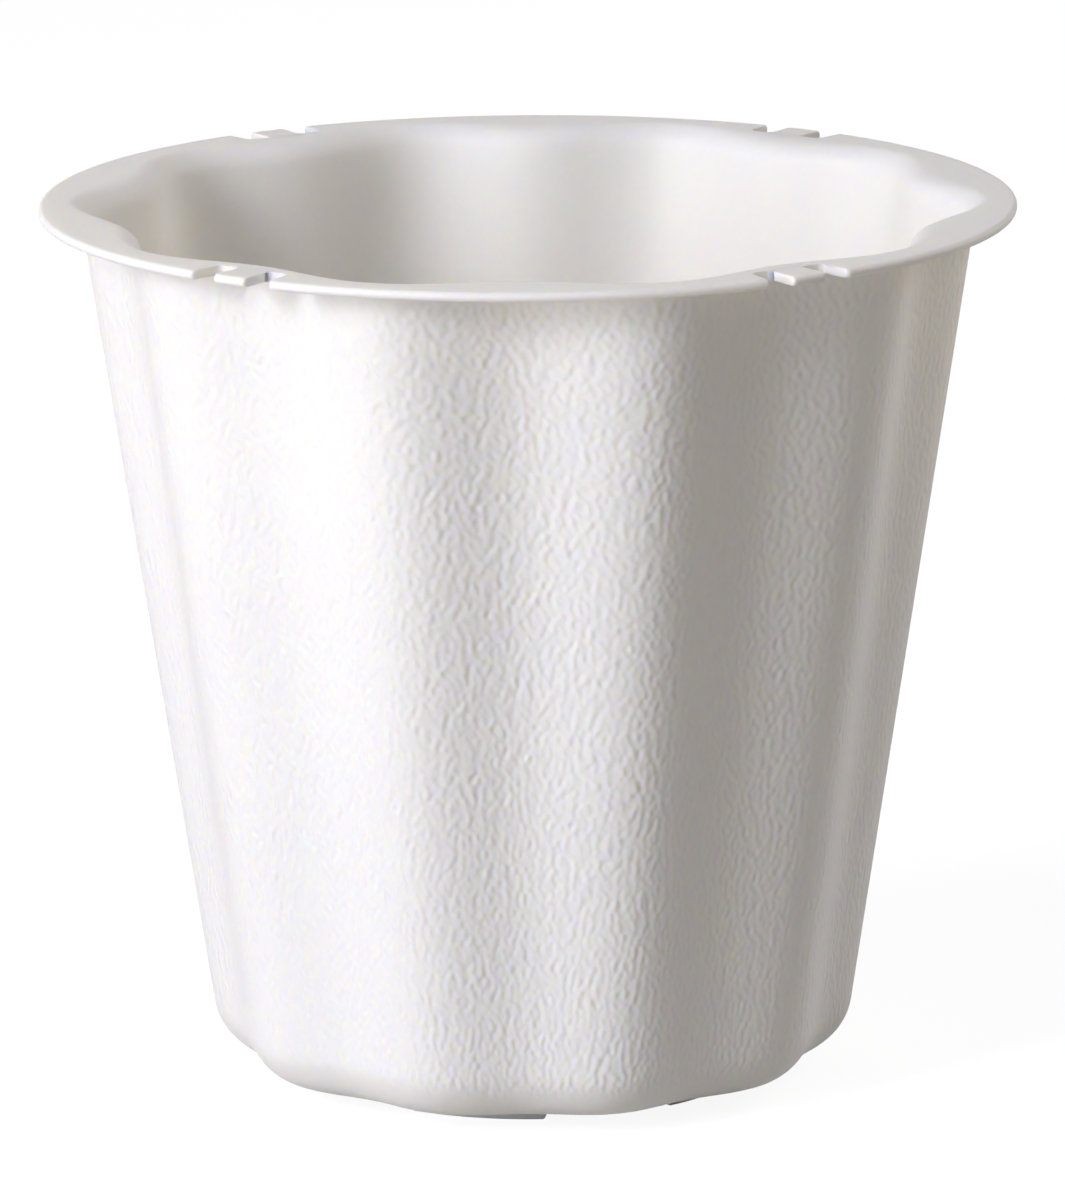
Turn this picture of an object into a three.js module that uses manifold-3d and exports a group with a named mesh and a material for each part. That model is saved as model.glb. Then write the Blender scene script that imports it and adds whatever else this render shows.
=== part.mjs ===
// A tapered, fluted plastic planter pot with a flat flange round its mouth.
// The flange holds four springy tabs, each freed by a pair of slits, for the clips of a hanger.
// Millimetres, +Z up. The pot stands on z = 0 with its axis on Z and its front towards -Y.
// Angles round the pot are measured from the front, anticlockwise as seen from above.

import * as THREE from "three";
import { mergeVertices } from "three/addons/utils/BufferGeometryUtils.js";
import Module from "manifold-3d";

// Flange and mouth
const RIM_DIAMETER = 200;
const POT_HEIGHT = 182.5; // from the table to the top of the flange
const FLANGE_THICKNESS = 2;
const RIM_TOP_ROUND = 1.5; // on top of the flange's outer edge
const RIM_UNDER_ROUND = 0.4; // under the flange's outer edge
const FLANGE_OVERHANG = 8; // past the crests of the flutes
const FLANGE_ROOT_ROUND = 1.4; // outside, where the wall meets the flange
const MOUTH_ROUND = 5.5; // inside, where the flange turns down into the wall

// Wall and base
const WALL_THICKNESS = 1.8;
const FLUTES = 10;
const FLUTE_DEPTH_TOP = 7; // from crest to trough
const FLUTE_DEPTH_BASE = 3.2;
const BASE_DIAMETER = 129; // across the crests, where the wall's line meets the base
const BASE_ROUND = 12.4; // outside, where the wall turns into the base
const FLOOR_THICKNESS = 2.2;

// Foot ring under the base, and the drain holes that open into its gaps
const FEET = 5;
const FOOT_HEIGHT = 3.3;
const FOOT_DIAMETER = 90;
const FOOT_WIDTH = 2.6;
const FOOT_GAP_ANGLE = 34; // degrees between one foot and the next
const FOOT_GAP_TURN = 22; // degrees from the front to the first gap's middle
const DRAIN_DIAMETER = 5.5;
const DRAIN_CIRCLE_DIAMETER = 68;

// Hanger tabs in the flange
const TAB_TURN = 35; // degrees from the front, or from the back, to a tab's middle
const TAB_WIDTH = 8; // at the rim
const SLIT_WIDTH = 5.4; // at the rim
const SLIT_LENGTH = 8.4; // inwards from the rim
const TAB_ROOT_GAP = 0.3; // the line that a tab bends on

// Fineness of the curves
const STEPS_PER_FLUTE = 12;
const SMALL_ROUND_STEPS = 2;
const BASE_ROUND_STEPS = 5;
const FOOT_STEPS = 10;
const DRAIN_STEPS = 16;

// How far a cutting body reaches past what it cuts
const CUT_MARGIN = 2;

const rimRadius = RIM_DIAMETER / 2;
const flangeUnderside = POT_HEIGHT - FLANGE_THICKNESS;
const baseUnderside = FOOT_HEIGHT;
const floorTop = baseUnderside + FLOOR_THICKNESS;
const slitRootRadius = rimRadius - SLIT_LENGTH;

const wasm = await Module();
wasm.setup();

// Flutes: the radius swings about a mean line that leans outwards from the base to the mouth.
function alongWall(z, atBase, atTop) {
  return THREE.MathUtils.mapLinear(z, baseUnderside, POT_HEIGHT, atBase, atTop);
}

function fluteDepth(z) {
  return alongWall(z, FLUTE_DEPTH_BASE, FLUTE_DEPTH_TOP);
}

function meanWallRadius(z) {
  const atBase = (BASE_DIAMETER - FLUTE_DEPTH_BASE) / 2;
  const atTop = rimRadius - FLANGE_OVERHANG - FLUTE_DEPTH_TOP / 2;
  return alongWall(z, atBase, atTop);
}

// The flutes are full on the wall, and die out towards the rim and towards the middle of the floor.
function fluteShare(radius, z) {
  const outside = meanWallRadius(z);
  const inside = outside - WALL_THICKNESS;
  const share = radius > outside ? (rimRadius - radius) / (rimRadius - outside) : radius / inside;
  return THREE.MathUtils.clamp(share, 0, 1);
}

function flute(geometry) {
  const points = geometry.attributes.position;
  for (let i = 0; i < points.count; i += 1) {
    const x = points.getX(i);
    const y = points.getY(i);
    const z = points.getZ(i);
    const radius = Math.hypot(x, y);
    const angle = Math.atan2(x, -y);
    const swing = (-fluteDepth(z) / 2) * Math.cos(FLUTES * angle);
    const scale = radius > 0 ? 1 + (swing * fluteShare(radius, z)) / radius : 1;
    points.setXY(i, x * scale, y * scale);
  }
  return geometry;
}

// Outlines: corners joined by straight lines, with an arc at each corner that has a radius.
function roundCorner(before, corner, after) {
  const back = before.point.clone().sub(corner.point).normalize();
  const ahead = after.point.clone().sub(corner.point).normalize();
  const half = Math.acos(back.dot(ahead)) / 2;
  const clockwise = back.cross(ahead) > 0;
  const middle = back.clone().add(ahead).setLength(corner.round / Math.sin(half)).add(corner.point);
  const reach = corner.round / Math.tan(half);
  const from = back.multiplyScalar(reach).add(corner.point).sub(middle).angle();
  const to = ahead.multiplyScalar(reach).add(corner.point).sub(middle).angle();
  return new THREE.ArcCurve(middle.x, middle.y, corner.round, from, to, clockwise).getPoints(corner.steps);
}

function outline(corners) {
  return corners.flatMap((corner, i) =>
    corner.round ? roundCorner(corners[i - 1], corner, corners[i + 1]) : [corner.point],
  );
}

function corner(radius, z, round = 0, steps = SMALL_ROUND_STEPS) {
  return { point: new THREE.Vector2(radius, z), round, steps };
}

// Half of the pot's section, from the underside up the outside and down the inside.
function potProfile() {
  return outline([
    corner(0, baseUnderside),
    corner(meanWallRadius(baseUnderside), baseUnderside, BASE_ROUND, BASE_ROUND_STEPS),
    corner(meanWallRadius(flangeUnderside), flangeUnderside, FLANGE_ROOT_ROUND),
    corner(rimRadius, flangeUnderside, RIM_UNDER_ROUND),
    corner(rimRadius, POT_HEIGHT, RIM_TOP_ROUND, 2 * SMALL_ROUND_STEPS),
    corner(meanWallRadius(POT_HEIGHT) - WALL_THICKNESS, POT_HEIGHT, MOUTH_ROUND, 2 * SMALL_ROUND_STEPS),
    corner(meanWallRadius(floorTop) - WALL_THICKNESS, floorTop, BASE_ROUND - WALL_THICKNESS, BASE_ROUND_STEPS),
    corner(0, floorTop),
  ]);
}

// Solids: three.js geometry to a closed body for cutting and joining, and back again.
function solid(geometry) {
  geometry.deleteAttribute("normal");
  geometry.deleteAttribute("uv");
  const merged = mergeVertices(geometry);
  const index = merged.index.array;
  const triangles = [];
  for (let i = 0; i < index.length; i += 3) {
    const [a, b, c] = index.subarray(i, i + 3);
    if (a !== b && b !== c && c !== a) triangles.push(a, b, c);
  }
  const mesh = new wasm.Mesh({
    numProp: 3,
    vertProperties: new Float32Array(merged.attributes.position.array),
    triVerts: new Uint32Array(triangles),
  });
  return new wasm.Manifold(mesh);
}

function geometryOf(body) {
  const mesh = body.getMesh();
  const geometry = new THREE.BufferGeometry();
  geometry.setAttribute("position", new THREE.BufferAttribute(mesh.vertProperties, 3));
  geometry.setIndex(new THREE.BufferAttribute(mesh.triVerts, 1));
  geometry.computeVertexNormals();
  return geometry;
}

function flutedBody() {
  const lathe = new THREE.LatheGeometry(potProfile(), FLUTES * STEPS_PER_FLUTE);
  lathe.rotateX(Math.PI / 2);
  return solid(flute(lathe));
}

// A block through the flange at the front, with sides that run towards the pot's axis.
function flangeBlock(rimWidth, rootRadius) {
  const spread = rimWidth / RIM_DIAMETER;
  const outerRadius = rimRadius + CUT_MARGIN;
  const shape = new THREE.Shape([
    new THREE.Vector2(-spread * rootRadius, -rootRadius),
    new THREE.Vector2(-spread * outerRadius, -outerRadius),
    new THREE.Vector2(spread * outerRadius, -outerRadius),
    new THREE.Vector2(spread * rootRadius, -rootRadius),
  ]);
  const block = new THREE.ExtrudeGeometry(shape, {
    depth: FLANGE_THICKNESS + 2 * CUT_MARGIN,
    bevelEnabled: false,
  });
  return block.translate(0, 0, flangeUnderside - CUT_MARGIN);
}

function turned(geometry, degrees) {
  return geometry.rotateZ(THREE.MathUtils.degToRad(degrees));
}

// A foot is an arc of the ring, let into the floor above it, and starts at the end of a gap.
function foot() {
  const outer = FOOT_DIAMETER / 2;
  const inner = outer - FOOT_WIDTH;
  const start = THREE.MathUtils.degToRad(FOOT_GAP_ANGLE / 2 - 90);
  const end = start + THREE.MathUtils.degToRad(360 / FEET - FOOT_GAP_ANGLE);
  const shape = new THREE.Shape();
  shape.absarc(0, 0, outer, start, end, false);
  shape.absarc(0, 0, inner, end, start, true);
  return new THREE.ExtrudeGeometry(shape, {
    depth: FOOT_HEIGHT + FLOOR_THICKNESS / 2,
    bevelEnabled: false,
    curveSegments: FOOT_STEPS,
  });
}

function drain() {
  const drill = new THREE.CylinderGeometry(
    DRAIN_DIAMETER / 2,
    DRAIN_DIAMETER / 2,
    FLOOR_THICKNESS + 2 * CUT_MARGIN,
    DRAIN_STEPS,
  );
  drill.rotateX(Math.PI / 2);
  return drill.translate(0, -DRAIN_CIRCLE_DIAMETER / 2, baseUnderside + FLOOR_THICKNESS / 2);
}

// The tabs sit near troughs of the flutes, where the flange is widest, in pairs at the front and the back.
const tabAngles = {
  hanger_tab_front_left: -TAB_TURN,
  hanger_tab_front_right: TAB_TURN,
  hanger_tab_back_left: TAB_TURN - 180,
  hanger_tab_back_right: 180 - TAB_TURN,
};

function potShell() {
  let body = flutedBody();
  for (let i = 0; i < FEET; i += 1) {
    const angle = FOOT_GAP_TURN + (i * 360) / FEET;
    body = body.add(solid(turned(foot(), angle)));
    body = body.subtract(solid(turned(drain(), angle)));
  }
  for (const angle of Object.values(tabAngles)) {
    const pocket = flangeBlock(TAB_WIDTH + 2 * SLIT_WIDTH, slitRootRadius);
    body = body.subtract(solid(turned(pocket, angle)));
  }
  return geometryOf(body);
}

function hangerTab() {
  const block = flangeBlock(TAB_WIDTH, slitRootRadius + TAB_ROOT_GAP);
  return geometryOf(flutedBody().intersect(solid(block)));
}

const plastic = new THREE.MeshStandardMaterial({
  name: "white_plastic",
  color: 0xf1eeea,
  roughness: 0.45,
  metalness: 0,
});

function piece(name, geometry) {
  const mesh = new THREE.Mesh(geometry, plastic);
  mesh.name = name;
  return mesh;
}

const planter = new THREE.Group();
planter.add(piece("pot_shell", potShell()));

for (const [name, angle] of Object.entries(tabAngles)) {
  const tab = piece(name, hangerTab());
  tab.rotation.z = THREE.MathUtils.degToRad(angle);
  planter.add(tab);
}

export default planter;
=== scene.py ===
# %% [markdown]
# # A fluted plastic planter pot
#
# The pot is one injection moulding: a tapered wall with ten flutes, a rounded base on short feet, and
# a flat flange with four springy tabs for the clips of a hanger. The CAD frame holds its true sizes,
# so the frame is loaded first and its box is kept. Everything below is built to fill that box exactly.

# %% Load the frame
import math

import bmesh
import bpy
from mathutils import Euler, Matrix, Vector, geometry


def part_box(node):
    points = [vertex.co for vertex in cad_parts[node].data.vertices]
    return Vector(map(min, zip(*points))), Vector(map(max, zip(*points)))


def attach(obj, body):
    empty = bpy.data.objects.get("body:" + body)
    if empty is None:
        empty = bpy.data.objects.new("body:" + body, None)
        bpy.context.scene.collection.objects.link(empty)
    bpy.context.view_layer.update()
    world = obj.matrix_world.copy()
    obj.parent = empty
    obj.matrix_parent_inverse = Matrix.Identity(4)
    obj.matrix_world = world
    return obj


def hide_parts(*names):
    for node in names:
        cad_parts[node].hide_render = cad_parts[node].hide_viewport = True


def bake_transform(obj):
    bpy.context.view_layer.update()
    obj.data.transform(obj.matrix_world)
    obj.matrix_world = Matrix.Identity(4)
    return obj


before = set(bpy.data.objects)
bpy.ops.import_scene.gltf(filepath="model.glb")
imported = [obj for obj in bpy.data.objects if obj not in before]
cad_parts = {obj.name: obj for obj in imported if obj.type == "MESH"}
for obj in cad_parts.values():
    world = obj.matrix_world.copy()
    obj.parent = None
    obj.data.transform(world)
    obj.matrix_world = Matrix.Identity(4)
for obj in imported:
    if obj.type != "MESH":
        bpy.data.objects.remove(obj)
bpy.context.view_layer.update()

print("frame nodes:", sorted(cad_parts))

# %% [markdown]
# ## The mould's sizes
#
# A maker would read these off the drawing of the mould. They are in millimetres, because a pot is
# drawn that way, and the meshes are scaled to metres when they are made. The two outer sizes come
# from the frame, and the others repeat the CAD source, so both models have the same wall. Only the
# lip's edge differs: it is rounder underneath, because the real lip is dark on its lower half.

# %% Sizes of the moulding
MM = 0.001
shell_low, shell_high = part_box("pot_shell")
RIM_RADIUS = (shell_high.x - shell_low.x) / 2 / MM
POT_HEIGHT = shell_high.z / MM
FLANGE_THICKNESS, FLANGE_WIDTH = 2, 11.5
FLANGE_Z = POT_HEIGHT - FLANGE_THICKNESS
RIM_UNDER_ROUND, RIM_TOP_ROUND = 0.95, 1
ARMPIT_ROUND, MOUTH_ROUND = 1.4, 5.5
WALL_THICKNESS, FLUTES = 1.8, 10
FLUTE_DEPTH_BASE, FLUTE_DEPTH_TOP = 3.2, 7
BASE_Z, FLOOR_Z, BASE_ROUND = 3.3, 5.5, 12.4
WALL_RADIUS_BASE, WALL_RADIUS_TOP = 62.9, RIM_RADIUS - FLANGE_WIDTH

print(f"rim {2 * RIM_RADIUS:.1f} mm across, {POT_HEIGHT:.1f} mm high, {FLUTES} flutes")

# %% [markdown]
# ## Flutes
#
# The flutes stiffen a thin wall. They could be modelled as ten bent panels, but a cosine laid round a
# leaning straight line gives every panel at once, and it keeps the wall straight from base to mouth,
# as it has to be to leave the mould. The swing is full on the wall and dies out across the flange and
# across the floor, so the rim stays a true circle.


# %% The wall's radius at any height and angle
def along_wall(z, at_base, at_top):
    return at_base + (at_top - at_base) * (z - BASE_Z) / (POT_HEIGHT - BASE_Z)


def mean_radius(z):
    return along_wall(z, WALL_RADIUS_BASE, WALL_RADIUS_TOP)


def fluted(radius, z, angle):
    """Moves a point of the plain section in or out to where the flutes put it at this angle."""
    outside = mean_radius(z)
    if radius > outside:
        share = (RIM_RADIUS - radius) / (RIM_RADIUS - outside)
    else:
        share = min(1, radius / (outside - WALL_THICKNESS))
    depth = along_wall(z, FLUTE_DEPTH_BASE, FLUTE_DEPTH_TOP)
    return radius - share * depth / 2 * math.cos(FLUTES * angle)


for name, angle in (("trough", 0), ("crest", math.pi / FLUTES)):
    print(name, "radius at the mouth:", round(fluted(mean_radius(FLANGE_Z), FLANGE_Z, angle), 2), "mm")

# %% [markdown]
# ## The section
#
# Cut through one side, the pot shows a thin bent strip: under the base, round the heel, up the wall,
# out along the flange, and back down inside. Each bend of the strip is an arc between two straight
# lines. A bevel would round these bends too, but arcs worked out here keep the wall's thickness true.


# %% An arc at a corner
def rounded(before, corner, after, radius, steps):
    """The arc that rounds a corner between two straight lines, as points from one line to the other."""
    corner = Vector(corner)
    back = (Vector(before) - corner).normalized()
    ahead = (Vector(after) - corner).normalized()
    half = back.angle(ahead) / 2
    centre = corner + (back + ahead).normalized() * radius / math.sin(half)
    start = corner + back * radius / math.tan(half) - centre
    end = corner + ahead * radius / math.tan(half) - centre
    sweep = start.angle(end)
    shares = [step / steps for step in range(steps + 1)]
    return [
        centre + (start * math.sin((1 - t) * sweep) + end * math.sin(t * sweep)) / math.sin(sweep)
        for t in shares
    ]


square_corner = rounded((0, 1), (0, 0), (1, 0), 1, 2)
print("a square corner, rounded:", [tuple(round(side, 2) for side in point) for point in square_corner])

# %% The arcs of the section
HEEL_STEPS, ARMPIT_STEPS, LIP_STEPS, MOUTH_STEPS = 14, 5, 8, 12
base_middle, floor_middle = (0, BASE_Z), (0, FLOOR_Z)
heel = (mean_radius(BASE_Z), BASE_Z)
armpit = (mean_radius(FLANGE_Z), FLANGE_Z)
rim_low, rim_high = (RIM_RADIUS, FLANGE_Z), (RIM_RADIUS, POT_HEIGHT)
mouth = (mean_radius(POT_HEIGHT) - WALL_THICKNESS, POT_HEIGHT)
floor_corner = (mean_radius(FLOOR_Z) - WALL_THICKNESS, FLOOR_Z)

heel_arc = rounded(base_middle, heel, armpit, BASE_ROUND, HEEL_STEPS)
armpit_arc = rounded(heel, armpit, rim_low, ARMPIT_ROUND, ARMPIT_STEPS)
rim_arc = rounded(armpit, rim_low, rim_high, RIM_UNDER_ROUND, LIP_STEPS)
rim_arc += rounded(rim_low, rim_high, mouth, RIM_TOP_ROUND, LIP_STEPS)
mouth_arc = rounded(rim_high, mouth, floor_corner, MOUTH_ROUND, MOUTH_STEPS)
floor_arc = rounded(mouth, floor_corner, floor_middle, BASE_ROUND - WALL_THICKNESS, HEEL_STEPS)

print("section arcs:", [len(arc) for arc in (heel_arc, armpit_arc, rim_arc, mouth_arc, floor_arc)])

# %% [markdown]
# ## Feet
#
# Five low arcs lift the base off the table, so that water can leave through the gaps between them.
# They could be five separate bars pushed into the base. Here they are a dip in the underside of the
# same sheet, with a fillet at the root and rounded ends, as the cutter that made the mould leaves them.

# %% A foot's section and its ends
FEET, FOOT_OUTER, FOOT_WIDTH = 5, 45, 2.6
FOOT_GAP, FOOT_GAP_TURN = math.radians(34), math.radians(22)
FOOT_ROUND, FOOT_ROUND_STEPS, FOOT_END_ROUND = 0.5, 3, 1.0
FOOT_PITCH = math.tau / FEET
PLATE_RADIUS, FOOT_MARGIN, EDGE_STEPS = 39, 4, 4

quarter = [1 - math.cos(step / EDGE_STEPS * math.pi / 2) for step in range(EDGE_STEPS + 1)]


def quarter_round(distance, size):
    """How far a rounded edge has dropped at this distance from the edge's line."""
    inside = min(1, max(0, 1 - distance / size))
    return size * (1 - math.sqrt(1 - inside * inside))


def foot_share(angle):
    """The foot's height at this angle, as a share of its full height."""
    turn = (angle - FOOT_GAP_TURN) % FOOT_PITCH
    inwards = min(turn - FOOT_GAP / 2, FOOT_PITCH - FOOT_GAP / 2 - turn) * FOOT_OUTER
    return 1 - quarter_round(inwards, FOOT_END_ROUND) / FOOT_END_ROUND if inwards > 0 else 0


foot_inner = FOOT_OUTER - FOOT_WIDTH
foot_corners = [
    (PLATE_RADIUS, BASE_Z), (foot_inner, BASE_Z), (foot_inner, 0),
    (FOOT_OUTER, 0), (FOOT_OUTER, BASE_Z), (FOOT_OUTER + FOOT_MARGIN, BASE_Z),
]
foot_section = [
    point
    for before, corner, after in zip(foot_corners, foot_corners[1:], foot_corners[2:])
    for point in rounded(before, corner, after, FOOT_ROUND, FOOT_ROUND_STEPS)
]
print(f"{FEET} feet, {BASE_Z} mm high, section of {len(foot_section)} points")

# %% [markdown]
# ## Slits
#
# Four pairs of slits free the hanger tabs. Cutting blocks out of a finished pot would leave ragged
# faces on its smooth sheet. So the sheet is laid out with a column of points on each side of each cut:
# in a slit the flange stops at its root, and a cut's two columns differ only there. The root has a
# rounded corner on each side, because a sharp inside corner in a springy part would tear.

# %% Where the flange is cut
TAB_TURN, TAB_WIDTH, SLIT_WIDTH, SLIT_LENGTH = math.radians(35), 8, 5.4, 8.4
SLIT_CORNER_ROUND, TAB_CORNER_ROUND, SLIT_EDGE_ROUND = 1.2, 0.9, 0.3
tab_angles = {
    "front_right": TAB_TURN, "back_right": math.pi - TAB_TURN,
    "back_left": math.pi + TAB_TURN, "front_left": math.tau - TAB_TURN,
}
slit_root = RIM_RADIUS - SLIT_LENGTH
tab_half = math.atan(TAB_WIDTH / 2 / RIM_RADIUS)
pocket_half = math.atan((TAB_WIDTH / 2 + SLIT_WIDTH) / RIM_RADIUS)


def turn_from_tab(angle):
    return min(abs((angle - tab + math.pi) % math.tau - math.pi) for tab in tab_angles.values())


def root_radius(angle, place):
    """Where the flange stops at this angle: 'slit' is beside a tab, and 'behind' is at a tab's root."""
    turn = turn_from_tab(angle)
    radius = slit_root / math.cos(turn)
    if place == "slit":
        radius += quarter_round((pocket_half - turn) * slit_root, SLIT_CORNER_ROUND)
        radius += quarter_round((turn - tab_half) * slit_root, SLIT_CORNER_ROUND)
    return radius


print("slits", SLIT_WIDTH, "by", SLIT_LENGTH, "mm")
print("tabs at", [round(math.degrees(angle)) for angle in tab_angles.values()], "degrees")

# %% [markdown]
# ## Columns round the pot
#
# The sheet is a grid: columns round the pot, points along the section. Columns are evenly spaced where
# the pot is plain, and closer where an edge is rounded, at the slits and at the ends of the feet. That
# puts points where the shape bends and spends few elsewhere.

# %% Lay out the columns
STEPS_PER_FLUTE = 40
CLOSEST_STEP = math.radians(0.25)

foot_ends = [
    FOOT_GAP_TURN + foot * FOOT_PITCH + side * (FOOT_GAP / 2 + share * FOOT_END_ROUND / FOOT_OUTER)
    for foot in range(FEET) for side in (-1, 1) for share in quarter
]


def columns_between(start, end, edge_size, edge_radius, also=()):
    """The angles of the columns from one cut to the next, closer together at the two cuts."""
    edges = [share * edge_size / edge_radius for share in quarter]
    fixed = [start + edge for edge in edges] + [end - edge for edge in edges]
    fixed += [angle for extra in also for angle in (extra, extra + math.tau) if start < angle < end]
    step_angle = math.tau / FLUTES / STEPS_PER_FLUTE
    first, last = math.floor(start / step_angle), math.ceil(end / step_angle)
    even = [step * step_angle for step in range(first, last)]
    spaced = [a for a in even if start < a < end and min(abs(a - b) for b in fixed) > CLOSEST_STEP]
    return sorted(set(fixed + spaced))


columns = []
starts = list(tab_angles.values())
for tab, following in zip(starts, starts[1:] + [starts[0] + math.tau]):
    for place, start, end, size, radius in (
        ("slit", tab - pocket_half, tab - tab_half, SLIT_CORNER_ROUND, slit_root),
        ("behind", tab - tab_half, tab + tab_half, 0, slit_root),
        ("slit", tab + tab_half, tab + pocket_half, SLIT_CORNER_ROUND, slit_root),
        ("flange", tab + pocket_half, following - pocket_half, TAB_CORNER_ROUND, RIM_RADIUS),
    ):
        columns += [(angle, place) for angle in columns_between(start, end, size, radius, foot_ends)]
print(len(columns), "columns,", sum(place != "flange" for _, place in columns), "of them at the tabs")

# %% [markdown]
# ## The flange in one column
#
# Beside a slit the flange's edges are slightly rounded, as every edge of a moulding is. Its section
# shrinks towards the cut by a quarter round. The same function serves the pot and the tabs, so that
# a tab at rest lies flush with the flange that it was cut from.

# %% The flange's points in one column
FLANGE_STEPS = 3


def between(first, last, steps):
    return [first + (last - first) * step / (steps + 1) for step in range(1, steps + 1)]


def flange_loop(root, cut_distance):
    """Points from the root along the underside, round the rim, and back along the top to the root."""
    under_edge, top_edge = rim_arc[0].x, rim_arc[-1].x
    inset = quarter_round(cut_distance, SLIT_EDGE_ROUND)
    pull = 1 - quarter_round(cut_distance, TAB_CORNER_ROUND) / (RIM_RADIUS - root)
    loop = [Vector((radius, FLANGE_Z)) for radius in between(root, under_edge, FLANGE_STEPS)]
    loop += rim_arc
    loop += [Vector((radius, POT_HEIGHT)) for radius in between(top_edge, root, FLANGE_STEPS)]
    middle = (FLANGE_Z + POT_HEIGHT) / 2
    shaped = []
    for point in loop:
        drop = inset * min(1, (point.x - root) / SLIT_CORNER_ROUND)
        shrink = 1 - drop / (POT_HEIGHT - middle)
        shaped.append((root + (point.x - root) * pull, middle + (point.y - middle) * shrink))
    return shaped


print(len(flange_loop(slit_root, math.inf)), "points round the flange")

# %% [markdown]
# ## The whole column
#
# One function lists the points of the section at one angle, from the drain plate under the base to the
# plate inside. Each point also says how deep the grain is there: the mould is etched only on the
# outside of the wall, and the etching fades out just above the heel.

# %% One column of the pot
GRAIN_STARTS, GRAIN_FULL, GRAIN_ENDS, GRAIN_GONE = 8, 13, 178, FLANGE_Z - 1
WALL_STEPS, INSIDE_STEPS = 22, 22
PLAIN_ROOT_SHARE = 0.45


def grain_depth(z):
    rise = min(1, max(0, (z - GRAIN_STARTS) / (GRAIN_FULL - GRAIN_STARTS)))
    fall = min(1, max(0, (GRAIN_GONE - z) / (GRAIN_GONE - GRAIN_ENDS)))
    return rise * rise * (3 - 2 * rise) * fall


def pot_column(angle, place, slit_distance):
    """(radius, height, grain) of each point of the section at this angle."""
    foot = foot_share(angle)
    column = [(p.x, BASE_Z - (BASE_Z - p.y) * foot, 0) for p in [Vector(foot_corners[0]), *foot_section]]
    column.append((FOOT_OUTER + FOOT_MARGIN, BASE_Z, 0))
    wall_z = between(heel_arc[-1].y, GRAIN_ENDS, WALL_STEPS) + [GRAIN_ENDS]
    outside = heel_arc + [Vector((mean_radius(z), z)) for z in wall_z]
    column += [(fluted(p.x, p.y, angle), p.y, grain_depth(p.y)) for p in outside]
    column += [(fluted(p.x, p.y, angle), p.y, 0) for p in armpit_arc]
    under, top = column[-1][0], fluted(*mouth_arc[0], angle)
    cut = place if place != "flange" else ("slit" if slit_distance == 0 else None)
    root = root_radius(angle, cut) if cut else under + PLAIN_ROOT_SHARE * (rim_arc[0].x - under)
    loop = flange_loop(root, slit_distance)
    if place != "flange":
        loop = [(root, z) for z in between(FLANGE_Z, POT_HEIGHT, len(loop))]
    column += [((under + root) / 2, FLANGE_Z, 0), (root, FLANGE_Z, 0)]
    column += [(radius, z, 0) for radius, z in loop]
    column += [(root, POT_HEIGHT, 0), ((top + root) / 2, POT_HEIGHT, 0)]
    column += [(fluted(p.x, p.y, angle), p.y, 0) for p in mouth_arc]
    inside = between(mouth_arc[-1].y, floor_arc[0].y, INSIDE_STEPS)
    column += [(fluted(mean_radius(z) - WALL_THICKNESS, z, angle), z, 0) for z in inside]
    column += [(fluted(p.x, p.y, angle), p.y, 0) for p in floor_arc]
    return column + [(PLATE_RADIUS, FLOOR_Z, 0)]


print(len(pot_column(0, "flange", math.inf)), "points in a column")

# %% [markdown]
# ## Drain plates
#
# The middle of the base is flat on both faces and has five drain holes. Holes don't fit a round grid,
# so the two flat plates are filled with triangles round the holes, and each hole gets a short wall
# with softened edges. Triangles are harmless here because the plates are flat.

# %% The plates and their holes
DRAIN_RADIUS, DRAIN_CIRCLE, DRAIN_STEPS, DRAIN_EDGE = 2.75, 34, 32, 0.5
WITHIN_HOLE, SAME_POINT = 0.99, 1e-6
drain_centres = [
    Vector((math.sin(turn), -math.cos(turn))) * DRAIN_CIRCLE
    for turn in (FOOT_GAP_TURN + hole * FOOT_PITCH for hole in range(FEET))
]
drain_rings = [
    (DRAIN_RADIUS + drop * DRAIN_EDGE, z)
    for drop, z in (
        [(share, FLOOR_Z - rise * DRAIN_EDGE) for share, rise in zip(quarter[::-1], quarter)]
        + [(share, BASE_Z + rise * DRAIN_EDGE) for share, rise in zip(quarter, quarter[::-1])]
    )
]


def circle(centre, radius, turns):
    return [centre + Vector((math.sin(turn), -math.cos(turn))) * radius for turn in turns]


hole_turns = [math.tau * step / DRAIN_STEPS for step in range(DRAIN_STEPS)]
plate_turns = sorted({angle % math.tau for angle, _ in columns})


def drain_plate(z):
    """Points and triangles of a flat plate with the drain holes left open."""
    hole = drain_rings[0][0]
    points = circle(Vector((0, 0)), PLATE_RADIUS, plate_turns)
    for centre in drain_centres:
        points += circle(centre, hole, hole_turns)
    flat, _, triangles, *_ = geometry.delaunay_2d_cdt(points, [], [], 0, SAME_POINT)
    kept = []
    for triangle in triangles:
        middle = sum((flat[corner] for corner in triangle), Vector((0, 0))) / 3
        if min((middle - centre).length for centre in drain_centres) > hole * WITHIN_HOLE:
            kept.append(triangle)
    return [(p.x, p.y, z) for p in flat], kept


print("plate triangles:", len(drain_plate(BASE_Z)[1]))

# %% [markdown]
# ## Shader sums
#
# A finish is a small calculation: how deep the grain is, how cloudy, how rough. Wiring such sums by hand
# takes many lines, so one small class stands for a socket and lets Python's own signs add the Math
# nodes. Any other node comes from its one method.


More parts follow.
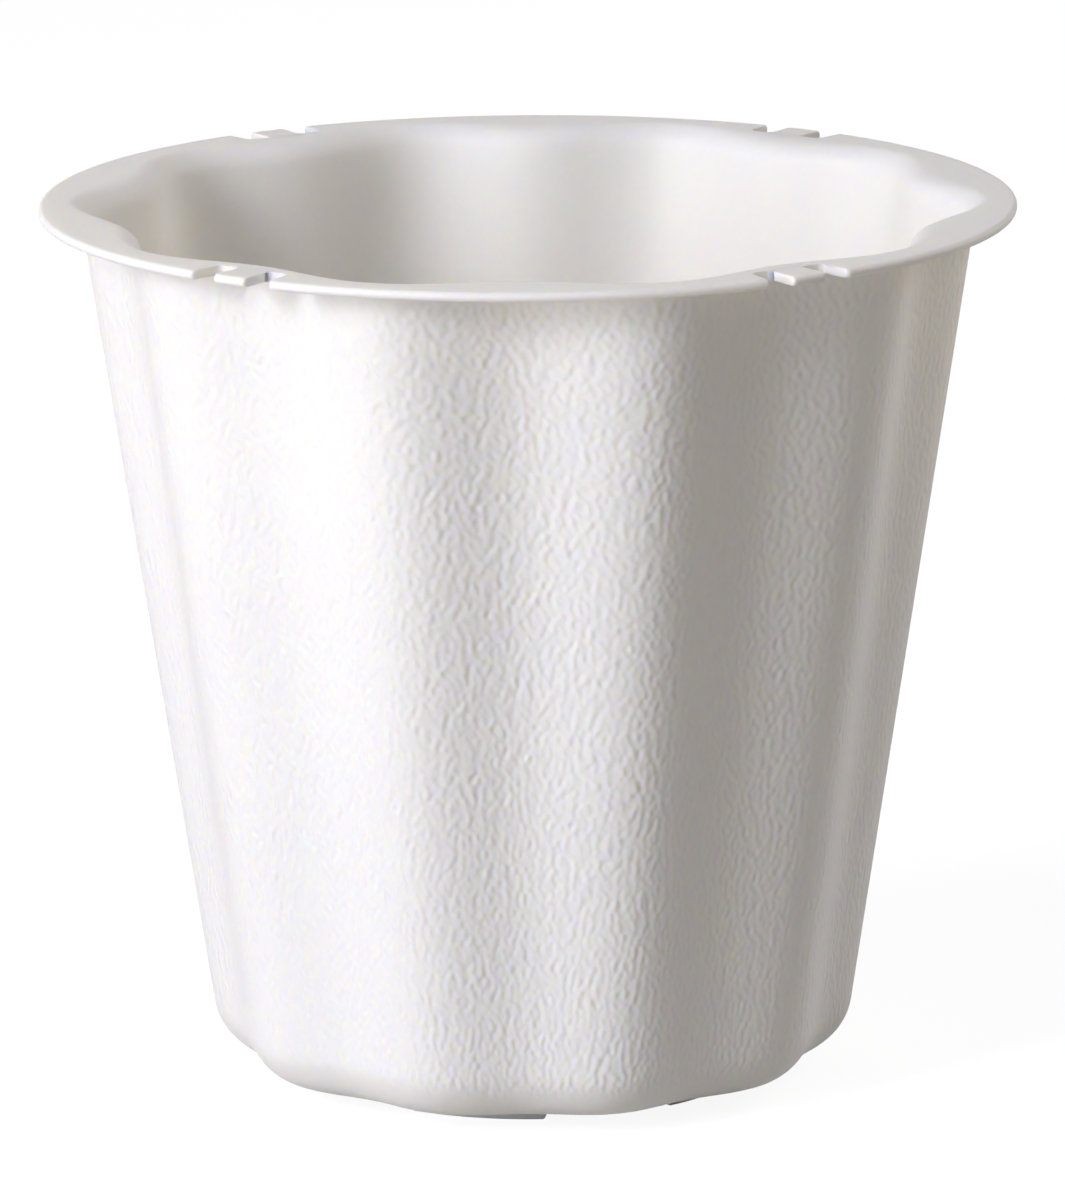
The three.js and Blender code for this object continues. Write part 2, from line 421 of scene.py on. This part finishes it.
# %% A socket that can be used in sums
class Wire:
    """A socket of a node tree, usable like a number."""

    def __init__(self, tree, socket=None):
        self.tree, self.socket = tree, socket

    def node(self, kind, settings, inputs, output=0):
        """Adds a node: its settings are set first, then its sockets get values or wires."""
        made = self.tree.nodes.new(kind)
        for name, value in settings.items():
            setattr(made, name, value)
        for name, value in inputs.items():
            if isinstance(value, Wire):
                self.tree.links.new(value.socket, made.inputs[name])
            else:
                made.inputs[name].default_value = value
        return Wire(self.tree, made.outputs[output]) if len(made.outputs) else made

    def sum(self, operation, first, second):
        return self.node("ShaderNodeMath", {"operation": operation}, {0: first, 1: second})

    def __add__(self, other):
        return self.sum("ADD", self, other)

    def __sub__(self, other):
        return self.sum("SUBTRACT", self, other)

    def __rsub__(self, other):
        return self.sum("SUBTRACT", other, self)

    def __mul__(self, other):
        return self.sum("MULTIPLY", self, other)

    __radd__, __rmul__ = __add__, __mul__


def emptied(tree):
    tree.nodes.clear()
    return Wire(tree)


print("Wire adds, subtracts and multiplies sockets")

# %% [markdown]
# ## White plastic
#
# The plastic is a warm white with a satin skin. Its outside carries a leather-like grain: short upright
# ridges about 2.4 mm apart, in no order. Such a grain is far finer than the sheet's grid, so it is a
# bump. Plain noise would give blots of every size. Gabor noise scatters small wave packets of one width
# and one main direction, as the etching does. The wall is unrolled for it, and the angle is measured
# from the side, so that the back mirrors the front and no seam shows. The grain attribute of the mesh
# says where the mould is etched.
#
# Everywhere the skin also has fine pores, a little cloudiness and a slow change of gloss, which keep it
# from looking like paint. Light spreads under the skin, because a thin white wall lets a little light
# through. In the tabs it spreads less: light lost where a tab meets the pot would leave a dark mark.

# %% The plastic's finish
PLASTIC_WARM, PLASTIC_COOL = (0.95, 0.915, 0.86, 1), (0.941, 0.912, 0.866, 1)
GRAIN_RADIUS, GRAIN_CELLS, RIDGES_PER_CELL, RIDGES_UPRIGHT = 0.076, 455, 0.8, 0.62
RIDGE_HEIGHT, PORE_DEPTH, GRAINED_PORE_DEPTH = 0.00045, 0.000004, 0.000008
PORE_SCALE, CLOUD_SCALE = 1500, 28
ROUGHNESS, GRAIN_ROUGHNESS, CLOUD_ROUGHNESS = 0.5, 0.05, 0.1
PLASTIC_IOR, SCATTER_SHARE, SCATTER_REACH = 1.49, 0.8, (1, 0.76, 0.34)
MOULDING_SCATTER, TAB_SCATTER = 0.0036, 0.0006
MIX_COLOUR_A, MIX_COLOUR_B, MIXED_COLOUR = 6, 7, 2


def white_plastic(name, depth):
    """The plastic, with light that spreads under its skin to this depth."""
    plastic = bpy.data.materials.new(name)
    plastic.use_nodes = True
    w = emptied(plastic.node_tree)

    place = w.node("ShaderNodeTexCoord", {}, {}, "Object")
    grain = w.node("ShaderNodeAttribute", {"attribute_name": "grain"}, {}, "Fac")
    x, y, z = (w.node("ShaderNodeSeparateXYZ", {}, {0: place}, axis) for axis in "XYZ")
    from_side = w.node("ShaderNodeMath", {"operation": "ABSOLUTE"}, {0: w.sum("ARCTAN2", y, x)})
    wrapped = w.node("ShaderNodeCombineXYZ", {}, {"X": GRAIN_RADIUS * from_side, "Y": z})
    ridges = w.node(
        "ShaderNodeTexGabor", {"gabor_type": "2D"},
        {
            "Vector": wrapped, "Scale": GRAIN_CELLS, "Frequency": RIDGES_PER_CELL,
            "Anisotropy": RIDGES_UPRIGHT, "Orientation": 0,
        },
    )
    pores = w.node("ShaderNodeTexNoise", {}, {"Vector": place, "Scale": PORE_SCALE, "Detail": 2})
    clouds = w.node(
        "ShaderNodeTexNoise", {}, {"Vector": place, "Scale": CLOUD_SCALE, "Detail": 3, "Roughness": 0.55}
    )

    height = RIDGE_HEIGHT * grain * ridges + (PORE_DEPTH + GRAINED_PORE_DEPTH * grain) * pores
    bump = w.node("ShaderNodeBump", {}, {"Strength": 1, "Distance": 1, "Height": height}, "Normal")
    colour = w.node(
        "ShaderNodeMix", {"data_type": "RGBA"},
        {"Factor": clouds, MIX_COLOUR_A: PLASTIC_WARM, MIX_COLOUR_B: PLASTIC_COOL}, MIXED_COLOUR,
    )
    roughness = ROUGHNESS + GRAIN_ROUGHNESS * grain + CLOUD_ROUGHNESS * clouds
    shader = w.node(
        "ShaderNodeBsdfPrincipled", {},
        {
            "Base Color": colour, "Roughness": roughness, "Normal": bump, "IOR": PLASTIC_IOR,
            "Subsurface Weight": SCATTER_SHARE, "Subsurface Radius": SCATTER_REACH,
            "Subsurface Scale": depth,
        },
    )
    w.node("ShaderNodeOutputMaterial", {}, {"Surface": shader})
    print(plastic.name, "has", len(plastic.node_tree.nodes), "nodes")
    return plastic


moulding_plastic = white_plastic("white_plastic_moulding", MOULDING_SCATTER)
tab_plastic = white_plastic("white_plastic_tab", TAB_SCATTER)

# %% [markdown]
# ## The moulded pot
#
# Now the columns become one closed sheet. Each column's points are joined to the next column's, the
# plates and hole walls close the middle, and points that fall together are welded. Sharp edges stay
# sharp only where the sheet really turns, so the arcs look smooth.


# %% From points and faces to a piece
WELD_DISTANCE, NO_LENGTH, SHARP_ANGLE = 2e-6, 1e-7, math.radians(40)


def into_mesh(name, points, faces, depths, finish):
    """A welded mesh in metres, with smooth arcs and the grain's depth on each point."""
    bm = bmesh.new()
    layer = bm.verts.layers.float.new("grain")
    verts = []
    for point, depth in zip(points, depths):
        verts.append(bm.verts.new([side * MM for side in point]))
        verts[-1][layer] = depth
    for face in faces:
        bm.faces.new([verts[corner] for corner in face])
    bmesh.ops.remove_doubles(bm, verts=bm.verts, dist=WELD_DISTANCE)
    bmesh.ops.dissolve_degenerate(bm, edges=bm.edges, dist=NO_LENGTH)
    bmesh.ops.recalc_face_normals(bm, faces=bm.faces)
    mesh = bpy.data.meshes.new(name)
    bm.to_mesh(mesh)
    bm.free()
    mesh.shade_smooth()
    mesh.set_sharp_from_angle(angle=SHARP_ANGLE)
    mesh.materials.append(finish)
    piece = bpy.data.objects.new(name, mesh)
    bpy.context.scene.collection.objects.link(piece)
    return piece


print("points closer than", WELD_DISTANCE, "m are welded")

# %% Join the columns
AT_THE_CUT = 1e-6


def slit_distance(angle, place):
    if place != "flange":
        return math.inf
    distance = (turn_from_tab(angle) - pocket_half) * RIM_RADIUS
    return 0 if distance < AT_THE_CUT else distance


points, faces, depths = [], [], []
for angle, place in columns:
    for radius, z, depth in pot_column(angle, place, slit_distance(angle, place)):
        points.append((radius * math.sin(angle), -radius * math.cos(angle), z))
        depths.append(depth)
rows = len(points) // len(columns)
for column in range(len(columns)):
    here, beside = column * rows, (column + 1) % len(columns) * rows
    faces += [(here + i, beside + i, beside + i + 1, here + i + 1) for i in range(rows - 1)]
print("grid of", len(columns), "by", rows)

# %% Close the middle and make the pot
for z in (BASE_Z, FLOOR_Z):
    first = len(points)
    plate_points, triangles = drain_plate(z)
    points += plate_points
    faces += [[first + corner for corner in triangle] for triangle in triangles]
for centre in drain_centres:
    first = len(points)
    for radius, z in drain_rings:
        points += [(p.x, p.y, z) for p in circle(centre, radius, hole_turns)]
    for ring in range(len(drain_rings) - 1):
        for step in range(DRAIN_STEPS):
            low = first + ring * DRAIN_STEPS
            a, b = low + step, low + (step + 1) % DRAIN_STEPS
            faces.append((a, b, b + DRAIN_STEPS, a + DRAIN_STEPS))
depths += [0] * (len(points) - len(depths))
pot = into_mesh("fluted_pot", points, faces, depths, moulding_plastic)
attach(pot, "pot")
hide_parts("pot_shell")
print(pot.name, len(pot.data.vertices), "points,", len(pot.data.polygons), "faces")

# %% [markdown]
# ## Hanger tabs
#
# A tab is the piece of flange between two slits. It has no hinge pin: the plastic itself bends at the
# tab's root, like a living hinge. So each tab starts exactly where the flange stops. The two ends of a
# bend BEND_LENGTH long are worked out at its root, though nothing here moves or bends the tab. Riding
# rigidly on a body of its own would tear the tab at the root.

# %% Make the four tabs
BEND_LENGTH = 3


def tab_mesh(name, tab):
    turns = columns_between(tab - tab_half, tab + tab_half, TAB_CORNER_ROUND, RIM_RADIUS)
    points, faces = [], []
    for turn in turns:
        root = slit_root / math.cos(turn - tab)
        from_edge = (tab_half - abs(turn - tab)) * RIM_RADIUS
        loop = [(root, FLANGE_Z), *flange_loop(root, from_edge), (root, POT_HEIGHT)]
        points += [(r * math.sin(turn), -r * math.cos(turn), z) for r, z in loop]
    size = len(points) // len(turns)
    for column in range(len(turns) - 1):
        for i in range(size):
            here, ahead = column * size + i, column * size + (i + 1) % size
            faces.append((here, here + size, ahead + size, ahead))
    faces += [list(range(size)), list(range(len(points) - size, len(points)))]
    return into_mesh(name, points, faces, [0] * len(points), tab_plastic)


for side, angle in tab_angles.items():
    tab = tab_mesh("springy_tab_" + side, angle)
    out = Vector((math.sin(angle), -math.cos(angle), 0))
    middle = Vector((0, 0, (FLANGE_Z + POT_HEIGHT) / 2))
    start, end = (out * radius + middle for radius in (slit_root, slit_root + BEND_LENGTH))
    start * MM
    end * MM
    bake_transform(tab)
    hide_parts("hanger_tab_" + side)
    print(tab.name, len(tab.data.polygons), "faces")

# %% [markdown]
# ## Studio
#
# The pot stands on a wide flat floor, and a photograph of goods shows it on plain white. The floor lies
# a hair below the feet, so that the two don't flicker through each other.

# %% The floor
FLOOR_SIZE, FLOOR_DROP, FLOOR_GLOW = 6, 0.0001, 0.89
FLOOR_BOUNCE, FLOOR_SHADE = (0.55, 0.54, 0.53, 1), (0.28, 0.28, 0.28, 1)
WHITE = (1, 1, 1, 1)
floor_mesh = bpy.data.meshes.new("studio_floor")
half = FLOOR_SIZE / 2
floor_mesh.from_pydata(
    [(x * half, y * half, -FLOOR_DROP) for x, y in ((-1, -1), (1, -1), (1, 1), (-1, 1))],
    [], [(0, 1, 2, 3)],
)
studio_floor = bpy.data.objects.new("studio_floor", floor_mesh)
bpy.context.scene.collection.objects.link(studio_floor)
print("floor", FLOOR_SIZE, "m wide")

# %% [markdown]
# ## White to the camera
#
# A white background could come from stronger lamps, but they would wash out the pot. Light Path tells
# a material what kind of ray has met it. Rays from the camera, and those that come by way of a mirror
# or glass, see plain white. All other rays see the true floor and the dim surroundings, which keep the
# shaded side of the pot as dark as the real one. The white floor keeps a share of matt surface for the
# shadow.


# %% White to the camera
def plainly_seen(w):
    """1 for rays that show the surroundings as a picture: straight, mirrored or through glass."""
    kinds = ("Is Camera Ray", "Is Glossy Ray", "Is Transmission Ray")
    camera, mirrored, through = (w.node("ShaderNodeLightPath", {}, {}, kind) for kind in kinds)
    return w.node(
        "ShaderNodeMath", {"operation": "ADD", "use_clamp": True}, {0: camera + mirrored, 1: through}
    )


white = bpy.data.materials.new("studio_white")
white.use_nodes = True
w = emptied(white.node_tree)
matt = w.node("ShaderNodeBsdfDiffuse", {}, {"Color": FLOOR_BOUNCE})
faint = w.node("ShaderNodeBsdfDiffuse", {}, {"Color": FLOOR_SHADE})
glow = w.node("ShaderNodeEmission", {}, {"Color": WHITE, "Strength": FLOOR_GLOW})
shown = w.node("ShaderNodeAddShader", {}, {0: faint, 1: glow})
mixed = w.node("ShaderNodeMixShader", {}, {0: plainly_seen(w), 1: matt, 2: shown})
w.node("ShaderNodeOutputMaterial", {}, {"Surface": mixed})
floor_mesh.materials.append(white)
print(white.name, "has", len(white.node_tree.nodes), "nodes")

# %% The surroundings
AMBIENT = (0.142, 0.138, 0.143, 1)
world = bpy.data.worlds.new("studio")
world.use_nodes = True
bpy.context.scene.world = world
w = emptied(world.node_tree)
dim = w.node("ShaderNodeBackground", {}, {"Color": AMBIENT, "Strength": 1})
bright = w.node("ShaderNodeBackground", {}, {"Color": WHITE, "Strength": 1})
both = w.node("ShaderNodeMixShader", {}, {0: plainly_seen(w), 1: dim, 2: bright})
w.node("ShaderNodeOutputWorld", {}, {"Surface": both})
print("surroundings give", AMBIENT[:3])

# %% [markdown]
# ## Lamps
#
# A big soft lamp at the left gives most of the light, and two smaller ones above it light the flange
# and the inside. A warm one behind on the right lifts the far edge. Small hard lamps would show the
# grain more, but they would draw sharp shadows of the lip on the wall, and the real pot has none.

# %% The lamps
COOL_LIGHT, WARM_LIGHT = (0.949, 0.928, 1), (1, 0.942, 0.95)
AIM_HEIGHT = 0.1


def soft_lamp(name, turn, rise, distance, width, height, power, colour):
    """A soft lamp aimed at the pot, turned round it from the front and raised above the floor."""
    data = bpy.data.lights.new(name, "AREA")
    data.shape, data.size, data.size_y = "RECTANGLE", width, height
    data.energy, data.color = power, colour
    lamp = bpy.data.objects.new(name, data)
    back = Euler((math.radians(90 - rise), 0, math.radians(turn))).to_matrix() @ Vector((0, 0, 1))
    lamp.location = Vector((0, 0, AIM_HEIGHT)) + back * distance
    lamp.rotation_euler = back.to_track_quat("Z", "Y").to_euler()
    lamp.visible_camera = False
    bpy.context.scene.collection.objects.link(lamp)
    return lamp


lamps = [
    soft_lamp(
        "key_lamp", turn=-50, rise=14, distance=2.0,
        width=0.9, height=1.15, power=24.2, colour=COOL_LIGHT,
    ),
    soft_lamp(
        "front_lamp", turn=-45, rise=29, distance=2.2,
        width=0.8, height=0.8, power=14.5, colour=COOL_LIGHT,
    ),
    soft_lamp(
        "upper_lamp", turn=-45, rise=57, distance=2.2,
        width=0.8, height=0.8, power=7.2, colour=WARM_LIGHT,
    ),
    soft_lamp(
        "back_right_lamp", turn=120, rise=25, distance=2.2,
        width=1.4, height=1.4, power=13.0, colour=WARM_LIGHT,
    ),
]
print("lamps:", {lamp.name: lamp.data.energy for lamp in lamps})

# %% [markdown]
# ## Camera
#
# The picture was taken from about two metres away and 0.4 m above the rim, with a long lens, which is
# why the pot's sides look nearly straight and its mouth is a shallow oval. The camera's distance,
# height and tilt were fitted to the outlines of the rim, the wall and the base.

# %% Place the camera
CAMERA_DISTANCE, CAMERA_HEIGHT, CAMERA_TURN = 2.1362, 0.5780, 0.02164
CAMERA_TILT, CAMERA_AIM, CAMERA_ROLL = 0.22075, 0.00022, -0.00648
LENS_PIXELS, PICTURE_HEIGHT, SENSOR_WIDTH = 10620, 1200, 36
NEAREST, FARTHEST = 0.1, 50

data = bpy.data.cameras.new("camera")
data.sensor_width = SENSOR_WIDTH
data.lens = SENSOR_WIDTH * LENS_PIXELS / PICTURE_HEIGHT
data.clip_start, data.clip_end = NEAREST, FARTHEST
camera = bpy.data.objects.new("camera", data)
turned = Euler((math.pi / 2 - CAMERA_TILT, 0, CAMERA_TURN - CAMERA_AIM)).to_matrix()
turned = turned @ Matrix.Rotation(CAMERA_ROLL, 3, "Z")
stand = (
    math.sin(CAMERA_TURN) * CAMERA_DISTANCE, -math.cos(CAMERA_TURN) * CAMERA_DISTANCE, CAMERA_HEIGHT,
)
camera.matrix_world = Matrix.Translation(stand) @ turned.to_4x4()
bpy.context.scene.collection.objects.link(camera)
bpy.context.scene.camera = camera
bpy.context.scene.view_settings.view_transform = "Standard"
print("camera lens", round(data.lens, 1), "mm at", [round(side, 3) for side in stand])

# %% [markdown]
#
# The dressed pot has to fill the CAD box and no more.

# %% Update the scene
bpy.context.view_layer.update()
